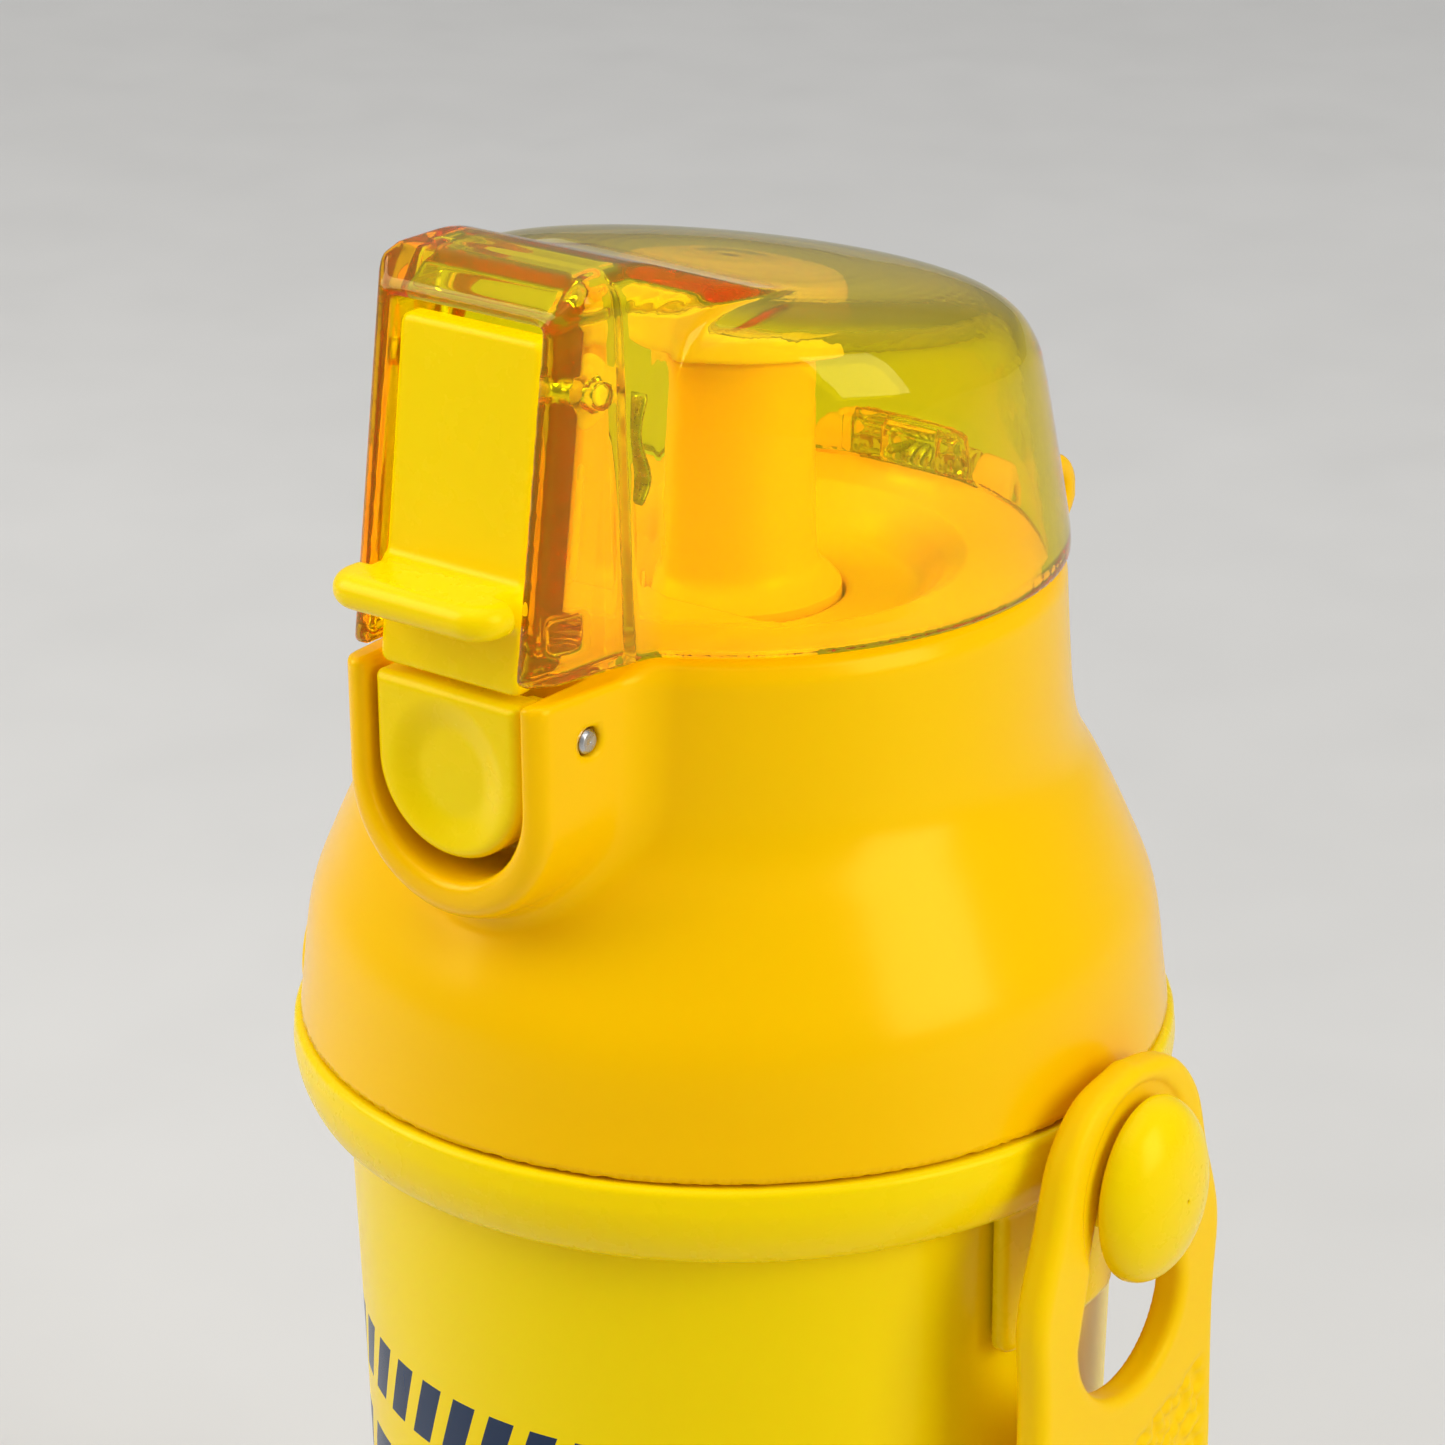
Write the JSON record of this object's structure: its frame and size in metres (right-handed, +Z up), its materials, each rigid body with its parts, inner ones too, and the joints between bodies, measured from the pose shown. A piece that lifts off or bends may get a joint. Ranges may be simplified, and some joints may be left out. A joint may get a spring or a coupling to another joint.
{
  "type": "kids water bottle",
  "caption": "Child's drinking bottle with a screw cap, spout, clear flip lid, push button, swing-out lock lever and swivelling strap ends.",
  "frame": {"origin": "centre of the bottle's base, on the surface it stands on", "axes": "+Z up along the bottle's axis, the push button faces -Y, the two strap studs lie on the X axis"},
  "size_m": [0.0906, 0.0769, 0.177],
  "materials": {
    "lemon_plastic": "semi-gloss opaque lemon yellow",
    "golden_plastic": "glossy opaque golden yellow",
    "soft_golden_plastic": "satin flexible golden yellow",
    "clear_amber_plastic": "clear yellow tinted plastic, polished",
    "silicone": "matte translucent white",
    "lemon_silicone": "matte lemon yellow",
    "steel": "bright stainless wire and pin"
  },
  "bodies": {
    "bottle": {"bottle_body": "lemon_plastic", "strap_ring": "lemon_plastic", "strap_stud_right": "lemon_plastic", "strap_stud_left": "lemon_plastic"},
    "strap_right": {"strap_end_right": "soft_golden_plastic"},
    "strap_left": {"strap_end_left": "soft_golden_plastic"},
    "gasket": {"cap_gasket": "silicone"},
    "cap": {"cap_shell": "golden_plastic", "cap_liner": "golden_plastic", "vent_valve": "silicone", "spout": "golden_plastic", "spout_gasket": "silicone", "button_pin": "steel", "button_spring": "steel", "hinge_pin": "steel"},
    "button": {"push_button": "lemon_plastic"},
    "lid": {"lid_shell": "clear_amber_plastic", "lid_stopper": "lemon_silicone", "lock_pin": "lemon_plastic", "lock_spring": "steel", "hinge_spring": "steel"},
    "lock": {"lock_lever": "lemon_plastic"}
  },
  "joints": [
    {"name": "strap_swivel_right", "type": "hinge", "parent": "bottle", "child": "strap_right", "pos_m": [0.039, 0, 0.1014], "axis": [1, 0, 0], "continuous": true},
    {"name": "strap_swivel_left", "type": "hinge", "parent": "bottle", "child": "strap_left", "pos_m": [-0.039, 0, 0.1014], "axis": [1, 0, 0], "continuous": true},
    {"name": "cap_lift", "type": "slide", "parent": "bottle", "child": "gasket", "axis": [0, 0, 1], "range_m": [0, 0.01805]},
    {"name": "cap_turn", "type": "hinge", "parent": "gasket", "child": "cap", "pos_m": [0, 0, 0.1074], "axis": [0, 0, 1], "range_deg": [0, 1080]},
    {"name": "button_press", "type": "hinge", "parent": "cap", "child": "button", "pos_m": [0, -0.0305, 0.1417], "axis": [1, 0, 0], "range_deg": [0, 5], "stiffness_Nm_per_rad": 0.3},
    {"name": "lid_hinge", "type": "hinge", "parent": "cap", "child": "lid", "pos_m": [0, 0.0295, 0.1456], "axis": [-1, 0, 0], "range_deg": [0, 130]},
    {"name": "lock_swing", "type": "hinge", "parent": "lid", "child": "lock", "pos_m": [0, -0.0274, 0.1679], "axis": [-1, 0, 0], "range_deg": [0, 95]}
  ],
  "couplings": [
    {"joint": "cap_lift", "follows": "cap_turn", "m_per_rad": 0.00095493}
  ]
}
